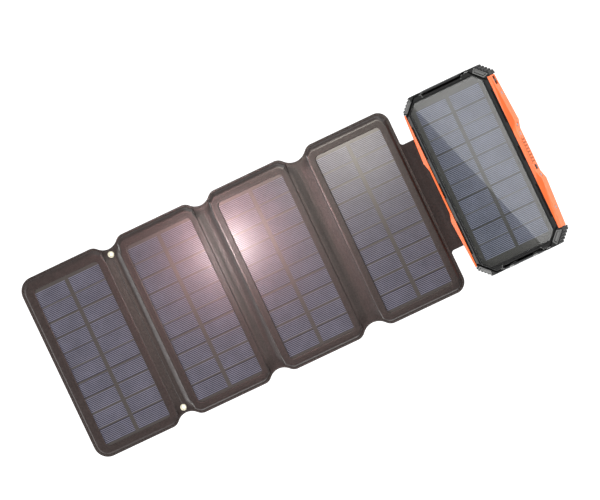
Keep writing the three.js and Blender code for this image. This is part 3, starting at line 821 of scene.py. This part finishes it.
def panel_solar(panel):
    number = panel + 1
    low, high = box_mm(f"panel_{number}_solar_laminate")
    film = prism(f"panel_{number}_film", rounded(low, high, 3), low.z, high.z, MAT["laminate"], 0.15, 1)
    middle = (PAD_LEFT[panel] + PAD_RIGHT[panel]) / 2
    half = WINDOW.x / 2 + 1.2  # the cells run on under the window's edge
    left = (max(low.x + 0.2, middle - half), middle - BUS_GAP / 2)
    right = (middle + BUS_GAP / 2, min(high.x - 0.2, middle + half))
    rows = cell_rows(*CELL_SPAN, ROW_GAPS)
    return film, tiles(f"panel_{number}_cells", (left, right), rows, high.z - 0.02, MAT["cell"])


# ---- flap and eyelets


def flap_piece():
    """The flap, from inside the strip's sewn edge to under the power bank."""
    half = 46.3
    start, end = STRIP_RIGHT - 2.2, BANK_X - BODY_HALF_W + 3
    xs = spaced(start, end, 0.8)
    ys = spaced(-half, half, 1.0)
    flare = 2.4

    def reach(x):
        off = x - STRIP_RIGHT
        if off <= 0:
            return half + flare + (1.0 if off < 0 else 0)
        if off < flare:
            return half + flare - math.sqrt(max(0.0, flare**2 - (flare - off) ** 2))
        return half

    def middle(x, y):
        run = smoothstep((x - STRIP_RIGHT) / (end - STRIP_RIGHT))
        sag = 0.12 * math.sin(x * 0.8 + 1.0) * math.sin(y * 0.07)
        return 1.0 + 1.2 * run + sag * math.sin(math.pi * min(1, max(0, (x - STRIP_RIGHT) / 18)))

    b = Builder()
    rows = []
    for x in xs:
        scale = reach(x) / half
        thin = 0.04 if x < STRIP_RIGHT else 0.5
        front = [(x, y * scale, middle(x, y) + thin) for y in ys]
        back = [(x, y * scale, middle(x, y) - thin) for y in ys[::-1]]
        rim_high = [(x, reach(x) + 0.25, middle(x, half) + s * thin * 0.5) for s in (1, -1)]
        rim_low = [(x, -reach(x) - 0.25, middle(x, half) - s * thin * 0.5) for s in (1, -1)]
        rows.append(front + rim_high + back + rim_low)
    b.solid(rows)
    return b.make("flap", MAT["flap"])


def eyelet(name, node):
    """A rolled brass ring through the leather."""
    low, high = box_mm(node)
    cx, cy = (low.x + high.x) / 2, (low.y + high.y) / 2
    mid, top = (low.z + high.z) / 2, high.z + 0.15
    outer, bore = (high.x - low.x) / 2, 1.35
    section = []
    for side in (1, -1):
        rim = [(bore, mid + side * 0.3), (bore, mid + side * (top - mid - 0.35))]
        for a in (150, 120, 90, 60, 30):
            r = (outer + bore) / 2 + (outer - bore) / 2 * math.cos(math.radians(a))
            rim.append((r, mid + side * (top - mid - 0.35 + 0.35 * math.sin(math.radians(a)))))
        rim += [(outer, mid + side * (top - mid - 0.4)), (bore + 0.35, mid + side * 0.55)]
        section += rim if side > 0 else rim[::-1]
    b = Builder()
    b.turn(48, section + section[:1], lambda r, z, a: (cx + r * math.cos(a), cy + r * math.sin(a), z))
    return b.make(name, MAT["brass"])


# ---- assembly of the strip


# Each fold piece: the two bodies it lies between, and where along X it starts and stops bending.
# make_folds reads only the names; the pieces are left unbent.
BENDS = {
    "fold_12_left": ("panel_1", "fold_12", FOLD_X[0] - 5.2, FOLD_X[0]),
    "fold_12_right": ("fold_12", "panel_2", FOLD_X[0], FOLD_X[0] + 5.2),
    "fold_23": ("panel_2", "panel_3", FOLD_X[1] - 5, FOLD_X[1] + 5),
    "fold_34": ("panel_3", "panel_4", FOLD_X[2] - 6, FOLD_X[2] + 6),
}
EYELETS = ("eyelet_upper", "eyelet_lower")


def on_body(piece, body, node, slot):
    """A piece that rides one body and stands for one node there."""
    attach(piece, body)
    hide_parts(node)


def make_folds(sewn):
    for name, (a, b, start, end) in BENDS.items():
        fold = int(name[5]) - 1
        x0, x1 = SPANS[name]
        skin = fold_piece(f"{name}_skin", fold, x0, x1)
        if fold == 0:
            for node in EYELETS:
                low, high = box_mm(node)
                drill(skin, (FOLD_X[0], (low.y + high.y) / 2, 0), 1.9, 40)
        for piece in (skin, sewn[name]):
            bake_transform(piece)
            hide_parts(name[:7] + "_leather")


def make_panels(sewn):
    for panel in range(4):
        body = f"panel_{panel + 1}"
        film, cells = panel_solar(panel)
        for piece, kind in (
            (panel_front(panel), "front_leather"),
            (panel_back(panel), "back_leather"),
            (film, "solar_laminate"),
            (cells, "solar_laminate"),
            (sewn[body], "front_leather"),
        ):
            on_body(piece, body, f"{body}_{kind}", kind)


def make_flap():
    flap = flap_piece()
    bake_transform(flap)
    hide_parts("flap_leather")


def make_strip():
    sewn = stitches()
    make_folds(sewn)
    make_panels(sewn)
    make_flap()
    for node in EYELETS:
        on_body(eyelet(node + "_ring", node), "fold_12", node, "brass")


# ---- the power bank's outlines


def octagon(half_w, half_l, chamfer):
    """Anticlockwise, about the bank's middle, in the frame's coordinates."""
    corner = [(half_w, half_l - chamfer), (half_w - chamfer, half_l)]
    made = corner + [(-x, y) for x, y in corner[::-1]]
    made += [(-x, -y) for x, y in corner] + [(x, -y) for x, y in corner[::-1]]
    return [(BANK_X + x, y) for x, y in made]


def ring_solid(name, rings, material):
    """A closed band through octagons [(half width, half length, chamfer, z)], listed round its section."""
    b = Builder()
    rows = [level(octagon(w, l, c), z) for w, l, c, z in rings]
    b.loft(rows + rows[:1], closed=True)
    return b.make(name, material, smooth=False)


def on_bank(piece, node, slot):
    on_body(piece, "bank", node, slot)


CHAMFER = 12.5  # how far the case's cut corners reach along X and Y
SOCKET_GAP = 0.3  # between a socket and the edge of its mouth
END_RECESS = {"inner": 75.4, "outer": 79.5, "half_inner": 16.4, "half_outer": 20.2}


def end_outline(end, inner, outer, grow):
    """The recess at an end of the bank: narrow inside, wider outside."""
    a, c = END_RECESS["half_inner"] + grow, END_RECESS["half_outer"] + grow
    points = [(-a, inner), (a, inner), (c, outer), (-c, outer)]
    if end < 0:
        points = [(x, -y) for x, y in points[::-1]]
    return [(BANK_X + x, y) for x, y in points]


def cut_recesses(shell):
    """The recesses for the bars in both ends, flaring upwards."""
    inner, outer = END_RECESS["inner"], END_RECESS["outer"]
    for end in (1, -1):
        low, high = end_outline(end, inner, outer, -0.2), end_outline(end, inner - 0.9, outer, 1.4)
        cut(shell, tapered("recess", low, 4, high, 22, MAT["shell"]))


def cut_channels(shell):
    """The shallow channels in the top beside the grips."""
    for side in (1, -1):
        x0, x1 = sorted((BANK_X + side * 35.7, BANK_X + side * 39))
        for y, half in ((41.4, 14.4), (0, 6.4), (-41.4, 14.4)):
            low = rectangle(x0, x1, y - half + 0.9, y + half - 0.9)
            high = rectangle(x0, x1, y - half - 0.5, y + half + 0.5)
            cut(shell, tapered("channel", low, 18.7, high, 21, MAT["shell"]))


def cut_socket_mouths(shell):
    """Openings behind the door, through the end wall to the sockets."""
    for node in ("usb_a_socket", "usb_c_socket", "micro_usb_socket"):
        low, high = box_mm(node)
        mouth = rectangle(low.x - SOCKET_GAP, high.x + SOCKET_GAP, 70, 78)
        z0, z1 = low.z - SOCKET_GAP, high.z + SOCKET_GAP
        cut(shell, tapered("mouth", mouth, z0, mouth, z1, MAT["shell"]))


def frame_shell():
    w, l = BODY_HALF_W, BODY_HALF_L
    rings = [
        (w, l, CHAMFER, 8.3), (w, l, CHAMFER, 18.9), (w - 0.3, l - 0.3, CHAMFER, 19.5),
        (w - 2.2, l - 0.9, CHAMFER - 1.0, 20.75), (w - 2.7, l - 1.5, CHAMFER - 1.5, BANK_TOP),
        (w - 3.3, l - 3.5, 8.2, BANK_TOP), (w - 3.5, l - 3.8, 7.8, 20.2), (w - 3.5, l - 3.8, 7.8, 17.2),
        (w - 1.8, l - 4.2, CHAMFER - 1, 16.6), (w - 1.8, l - 4.2, CHAMFER - 1, 8.3),
    ]
    shell = ring_solid("frame_shell", rings, MAT["shell"])
    cut_recesses(shell)
    cut_channels(shell)
    cut_socket_mouths(shell)
    on_bank(bevel(shell, 0.22, 2, 20), "front_frame", "front_shell")


def glass_gasket():
    w, l = BODY_HALF_W, BODY_HALF_L
    rings = [
        (w - 3.45, l - 3.75, 7.8, 18.9), (w - 3.45, l - 3.75, 7.8, 20.62), (w - 3.75, l - 4.1, 7.3, 20.8),
        (w - 4.2, l - 4.55, 6.4, 20.72), (w - 4.4, l - 4.8, 6.1, 20.45), (w - 4.4, l - 4.8, 6.1, 18.9),
    ]
    ring = ring_solid("glass_gasket", rings, MAT["gasket"])
    on_bank(bevel(ring, 0.12, 2, 15), "front_frame", "front_shell")


# ---- solar film under the glass

BANK_COLUMNS = [(-28.9, -1.7), (1.5, 28.9)]  # along X, from the bank's middle
BANK_SPAN = (65.4, -64.9)  # along Y
BANK_ROW_GAP = 1.05


def bank_solar():
    low, high = box_mm("bank_solar_laminate")
    film = prism("bank_film", octagon(33.0, 72.0, 6.0), low.z, high.z, MAT["bank_laminate"], 0.1, 1)
    rows = cell_rows(*BANK_SPAN, [BANK_ROW_GAP] * 9)
    columns = [(BANK_X + a, BANK_X + b) for a, b in BANK_COLUMNS]
    cells = tiles("bank_cells", columns, rows, high.z - 0.04, MAT["bank_cell"], 0.02)
    for piece in (film, cells):
        on_bank(piece, "bank_solar_laminate", "bank_solar")


# ---- corner guards


GUARD = {"start": 66.6, "end": 78.2, "out": 39.5, "teeth": 5}  # start and end along Y, out along X
GUARD_Z = (1.4, 20.3)
TOOTH = ((0.25, 0.0), (0.35, 0.65), (0.9, 0.65), (1.0, 0.0))  # share of a step, and how far it is proud


def guard_outline(sx, sy):
    """Round a corner of the shells, with a stair of teeth on its slant."""
    start, end, out = GUARD["start"], GUARD["end"], GUARD["out"]
    inner = BODY_HALF_W + BODY_HALF_L - CHAMFER + 0.2
    a, b = Vector((out, start + 1.4)), Vector((out - (end - start - 1.4), end))
    points = [(out, start), a]
    for k in range(GUARD["teeth"]):
        for share, proud in TOOTH:
            points.append(a.lerp(b, (k + share) / (GUARD["teeth"] + 0.25)) + Vector((proud, proud)))
    in_x, in_y = inner - BODY_HALF_L, inner - BODY_HALF_W
    points += [b, (in_x - 4, end), (in_x - 4, BODY_HALF_L + 0.15), (in_x - 0.1, BODY_HALF_L + 0.15)]
    points += [(BODY_HALF_W + 0.15, in_y - 0.1), (BODY_HALF_W + 0.15, start)]
    placed = [(BANK_X + sx * x, sy * y) for x, y in points]
    return placed if sx * sy > 0 else placed[::-1]


# The slanting face on a guard: its middle, and how far it runs out along the diagonal and down.
SLANT_MIDDLE = Vector((33.0, 71.65, 19.0))
SLANT_RUN = (4.0, 3.8)


def guard(sx, sy, name):
    outline = guard_outline(sx, sy)
    low, high = GUARD_Z
    body = tapered(f"{name}_rubber", outline, low, outline, high, MAT["guard_rubber"], smooth=True)
    out = Vector((sx, sy, 0)).normalized()
    along = Vector((-sy, sx, 0)).normalized() * sx * sy
    fall = (out * SLANT_RUN[0] - Vector((0, 0, SLANT_RUN[1]))).normalized()
    normal = along.cross(fall)
    if normal.z < 0:
        along, normal = -along, -normal
    middle = Vector((BANK_X, 0, 0)) + SLANT_MIDDLE * Vector((sx, sy, 1))

    def slab(label, outline, low, high, material, edge=0):
        """A slab lying on the slant; its outline is (along it, down it)."""
        b = Builder()
        faces = [[middle + along * t + fall * s + normal * h for t, s in outline] for h in (low, high)]
        b.solid([[tuple(point) for point in face] for face in faces])
        made = b.make(label, material)
        return bevel(made, edge) if edge else made

    cut(body, slab("slant", rectangle(-30, 30, -12, 12), 0, 14, MAT["guard_rubber"]))
    bevel(body, 0.25, 2, 30)
    outer = [(-5.0, -2.3), (5.0, -2.3), (6.4, 2.3), (-6.4, 2.3)]
    inner = [(-4.1, -1.5), (4.1, -1.5), (5.3, 1.5), (-5.3, 1.5)]
    # The plate stands off the hollow's inner long side, so a strip of the black rubber shows there as
    # painted shade of the hollow.
    plate = [(-4.1, -0.7), (3.7, -0.7), (4.3, 1.45), (-4.9, 1.45)]
    rim = slab(f"{name}_rim", outer, -0.2, 0.45, MAT["inset"])
    cut(rim, slab("hollow", inner, -1, 1, MAT["inset"]))
    bevel(rim, 0.15)
    fill = slab(f"{name}_plate", plate, -0.2, 0.2, MAT["inset"], 0.12)
    for piece in (body, rim, fill):
        on_bank(piece, name, "guard_rubber")


# ---- end pieces


BAR_INNER = 76.5
BAR_OUTER = {1: 78.5, -1: 78.3}  # the door's bar at the upper end and the torches' at the lower
TORCH_X = 10.9  # either side of the bank's middle
TORCH_Z = 12


def end_bar(name, end, node, body):
    """The bar in the recess at one end, with ribs on the door and holes for the torches."""
    outer = BAR_OUTER[end]
    low, high = end_outline(end, BAR_INNER, outer, -0.4), end_outline(end, BAR_INNER, outer - 0.5, -0.4)
    bar = tapered(name, low, 4.5, high, 19.9, MAT["end"])
    if end > 0:
        for k in range(15):
            x = BANK_X - 16.8 + 2.4 * k
            rib = rectangle(x - 0.45, x + 0.45, outer - 0.45, outer + 2)
            cut(bar, tapered("rib", rib, 6, rib, 16.5, MAT["end"]))
    else:
        for x in (-TORCH_X, TORCH_X):
            drill(bar, (BANK_X + x, -BODY_HALF_L - 1.7, TORCH_Z), 4.3, 48, (math.pi / 2, 0, 0))
    on_body(bevel(bar, 0.3), body, node, "end_rubber")


def torch_lens(side, x):
    """A pale dome in a thin rim, in the end of the bank."""
    section = [(0.01, -78.45), (1.2, -78.4), (2.2, -78.2), (2.9, -77.85), (3.2, -77.5), (3.4, -77.5)]
    section += [(3.5, -78.25), (3.75, -78.4), (4.05, -78.3), (4.15, -78.0), (4.15, -75.4), (0.01, -75.4)]
    cx = BANK_X + x
    b = Builder()
    b.turn(40, section[::-1], lambda r, y, a: (cx + r * math.cos(a), y, TORCH_Z + r * math.sin(a)))
    on_bank(b.make(f"torch_dome_{side}", MAT["lens"]), f"torch_lens_{side}", "lens")
    # The light guide above it shows on the cap's sloping lip.
    y, z, steps = -77.35, 19.3, 28
    ring = [(math.cos(2 * math.pi * i / steps), math.sin(2 * math.pi * i / steps)) for i in range(steps)]
    rows = [[(cx + 2.9 * c, y + 0.8 * s, z - 0.8) for c, s in ring]]
    for k in range(7):
        turn = math.pi / 2 * k / 6
        size, rise = math.cos(turn), 0.9 * math.sin(turn)
        rows.append([(cx + 2.9 * size * c, y + 0.8 * size * s, z + rise) for c, s in ring])
    b = Builder()
    made = b.loft(rows, closed=True)
    b.faces.append(tuple(made[0][::-1]))
    on_bank(b.make(f"torch_guide_{side}", MAT["lens"]), f"torch_lens_{side}", "lens")


# ---- details on the grips

WAIST_OUT = 40.0  # how far the grips stand out at their waists
RIB_PITCH = 2.7
GRIP_Z = 11.3  # mid height


def slab_on_side(b, side, y_span, z_span, inner, outer):
    """A thin block on a grip; outer gives how far its face stands out at each end of y_span."""
    reach = dict(zip(y_span, outer))
    face = rectangle(*y_span, *z_span)
    root = [(BANK_X + side * inner, y, z) for y, z in face]
    made = b.loft([root, [(BANK_X + side * reach[y], y, z) for y, z in face]], closed=True)
    b.faces += [tuple(ring) for ring in made]


def grip_details():
    """Dark orange plates in the grooves between the ribs, as painted shade, and black plates in the
    lanyard pocket and over its bar, as painted shade of the pocket.
    """
    for side, name in ((-1, "left_rib_grooves"), (1, "right_rib_grooves")):
        b = Builder()
        # Each plate fills the groove between two ribs with darker orange: painted shade.
        z_span, outer = (GRIP_Z - 4.4, GRIP_Z + 4.4), (WAIST_OUT + 0.06,) * 2
        for k in range(8):
            y = (k - 3.5) * RIB_PITCH
            slab_on_side(b, side, (y - 0.7, y + 0.7), z_span, WAIST_OUT - 0.4, outer)
        groove_shade = b.make(name, MAT["rib"], smooth=False)
        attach(groove_shade, "bank")
    # Black plates on the pocket's floor and over its bar: painted shade in the lanyard pocket.
    b = Builder()
    for y_span, inner, outer in (
        ((58.1, 60.8), 37.9, (39.2, 39.05)),
        ((62.4, 65.1), 37.9, (38.95, 38.8)),
        ((60.85, 62.35), 38.5, (40.07, 39.99)),
    ):
        slab_on_side(b, 1, y_span, (7.9, 13.7), inner, outer)
    pocket_shade = b.make("lanyard_lining", MAT["gasket"], smooth=False)
    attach(pocket_shade, "bank")


def recess_lips():
    """Pale raised strips up both slanting sides of each end's recess: painted highlights on the recess
    walls.
    """
    b = Builder()
    for end in (1, -1):
        for side in (1, -1):
            outline = [(17.1, 73.6), (18.0, 73.6), (19.8, 76.6), (18.9, 76.6)]
            points = [(BANK_X + side * x, end * y) for x, y in outline][:: side * end]
            tops = [BANK_TOP + (0.15 if abs(y) < 75 else -0.3) for _, y in points]
            b.solid([level(points, 18.6), [(x, y, z) for (x, y), z in zip(points, tops)]])
    highlight_strips = bevel(b.make("recess_lips", MAT["inset"]), 0.12, 1)
    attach(highlight_strips, "bank")


# ---- assembly of the power bank


def make_bank():
    frame_shell()
    glass_gasket()
    bank_solar()
    for sx, side in ((-1, "left"), (1, "right")):
        for sy, end in ((1, "upper"), (-1, "lower")):
            guard(sx, sy, f"corner_guard_{end}_{side}")
        torch_lens(side, sx * TORCH_X)
    grip_details()
    recess_lips()
    end_bar("port_bar", 1, "port_cover", "port_door")
    end_bar("torch_bar", -1, "torch_cap", "bank")
    for node in ("left_side_grip", "right_side_grip"):
        bevel(frame["nodes"][node], 0.35, 3, 12)
    for node in ("rear_cover", "clamp_plate", "glass_cover", "power_button", "status_lens"):
        bevel(frame["nodes"][node], 0.25, 2, 25)


# ---- floor and light

GLOW = 1.3  # strength of the stage's own white light
FLOOR_Z = -0.02  # low enough for the strip to fold away under the power bank, in metres
WALL = {"radius": 3.5, "depth": 12}  # in metres; a camera at the side sees only 4 m past the object


def glowing(obj):
    """Gives a stage piece a white of its own light, which takes no shadow."""
    material = bpy.data.materials.new(obj.name + "_white")
    material.use_nodes = True
    tree = material.node_tree
    tree.nodes.clear()
    light, end = tree.nodes.new("ShaderNodeEmission"), tree.nodes.new("ShaderNodeOutputMaterial")
    light.inputs["Strength"].default_value = GLOW
    tree.links.new(light.outputs[0], end.inputs[0])
    obj.data.materials.append(material)
    return tree, light, end


def make_floor():
    bpy.ops.mesh.primitive_plane_add(size=40, location=(0, 0, FLOOR_Z))
    floor = bpy.context.object
    floor.name = "floor"
    glowing(floor)
    return floor


def make_wall():
    """A round wall, seen from inside only, so that the camera can stand outside it."""
    bpy.ops.mesh.primitive_cylinder_add(vertices=96, end_fill_type="NOTHING", **WALL)
    wall = bpy.context.object
    wall.name = "backdrop"
    wall.data.flip_normals()
    tree, light, end = glowing(wall)
    side, mix = tree.nodes.new("ShaderNodeNewGeometry"), tree.nodes.new("ShaderNodeMixShader")
    clear = tree.nodes.new("ShaderNodeBsdfTransparent")
    tree.links.new(side.outputs["Backfacing"], mix.inputs[0])
    tree.links.new(light.outputs[0], mix.inputs[1])
    tree.links.new(clear.outputs[0], mix.inputs[2])
    tree.links.new(mix.outputs[0], end.inputs[0])
    wall.visible_diffuse = wall.visible_glossy = wall.visible_shadow = False
    wall.visible_transmission = False
    return wall


def make_stage():
    make_floor()
    make_wall()
    world = bpy.data.worlds.new("studio")
    bpy.context.scene.world = world
    world.use_nodes = True
    sky = world.node_tree.nodes["Background"]
    sky.inputs["Color"].default_value = (1, 1, 1, 1)
    sky.inputs["Strength"].default_value = 0.3
    bpy.context.scene.view_settings.view_transform = "Standard"


def area_light(name, place, target, size, power, color=(1, 1, 1)):
    data = bpy.data.lights.new(name, "AREA")
    data.shape = "RECTANGLE"
    data.size, data.size_y = size
    data.energy = power
    data.color = color
    light = bpy.data.objects.new(name, data)
    light.location = place
    aim = Vector(target) - Vector(place)
    light.rotation_mode = "QUATERNION"
    light.rotation_quaternion = aim.to_track_quat("-Z", "Y")
    light.visible_camera = False
    bpy.context.scene.collection.objects.link(light)
    return light


def falls_on(light, receivers):
    """The light falls on these pieces only."""
    group = bpy.data.collections.new(light.name + "_pieces")
    for obj in receivers:
        group.objects.link(obj)
    light.light_linking.receiver_collection = group


def meshes():
    return [o for o in bpy.data.objects if o.type == "MESH"]


def side_light(name, place, target, size, power):
    """A broad box to one side. It lights the glazing too, but the glazing doesn't mirror it."""
    glazing = [o for o in meshes() if o.name.endswith(("_film", "_cells"))]
    rest = [o for o in meshes() if o not in glazing]
    falls_on(area_light(name, place, target, size, power), rest)
    unseen = area_light(name + "_on_glazing", place, target, size, power)
    unseen.visible_glossy = False
    falls_on(unseen, glazing)


def mirrored_box(name, seen_at, height, size, power, receivers, color=(1, 1, 1), surface=0.0, turn=0.0):
    """A soft box facing down that shows as a gloss only. On a level surface, the camera sees it
    mirrored at seen_at. Places and sizes are in mm."""
    light = area_light(name, (0, 0, 0), (0, 0, -1), [side * MM for side in size], power, color)
    shift = math.tan(TILT) * (height - surface)
    light.location = ((seen_at[0] - shift) * MM, seen_at[1] * MM, height * MM)
    light.rotation_mode = "XYZ"
    light.rotation_euler = (0, 0, turn)
    light.visible_diffuse = False
    light.visible_transmission = False
    falls_on(light, receivers)


def glass_reflection():
    """A soft box close above the glass; its straight edge shows across the glass as a slanting line."""
    upper, lower = Vector((151.1, 69.2)), Vector((198.1, -71.9))
    along = (lower - upper).normalized()
    across = Vector((-along.y, along.x))
    width, length = 110.0, 260.0
    middle = (upper + lower) / 2 + across * width / 2
    top = box_mm("bank_solar_laminate")[1].z
    cells = [bpy.data.objects[name] for name in ("bank_film", "bank_cells")]
    turn = math.atan2(across.y, across.x)
    mirrored_box("glass_light", middle, 90.0, (width, length), 0.3, cells, surface=top, turn=turn)


def strip_gloss():
    """The warm gloss of a low sun on the middle panels, and a paler one by the power bank."""
    strip = [o for o in meshes() if o.name.startswith(("panel_", "fold_"))]
    first_fold = [o for o in strip if o.name.startswith("fold_12")]
    rest = [o for o in strip if o not in first_fold]
    mirrored_box("sun_core", (-43, 33), 110, (24, 24), 0.15, rest, (1.0, 0.9, 0.9))
    mirrored_box("sun_halo", (-43, 40), 240, (60, 60), 0.42, rest, (1.0, 0.5, 0.48))
    mirrored_box("fold_gloss", (-43, 40), 240, (60, 60), 0.15, first_fold, (1.0, 0.6, 0.55))
    mirrored_box("sky_gloss", (88, 78), 300, (70, 70), 0.5, strip, (1.0, 0.95, 0.85))


def make_lights():
    strip_gloss()
    side_light("left_light", (-1.7, -0.1, 0.55), (0, 0, 0), (1.5, 0.5), 28)
    side_light("near_light", (-0.6, -1.6, 0.75), (0, 0, 0), (1.6, 0.5), 24)
    area_light("top_light", (0.5, 0.9, 1.8), (0, 0, 0), (1.2, 1.2), 14)
    far_light = area_light("far_light", (0.2, 1.7, 0.8), (0, 0, 0), (1.6, 0.7), 14)
    falls_on(far_light, [o for o in meshes() if o.name.endswith(("_front", "_skin")) or o.name == "flap"])
    side_light("right_light", (1.8, 0.2, 0.3), (0.1, 0, 0), (1.2, 0.5), 22)
    glass_reflection()


finish_nodes()
make_strip()
make_bank()
make_stage()
make_lights()
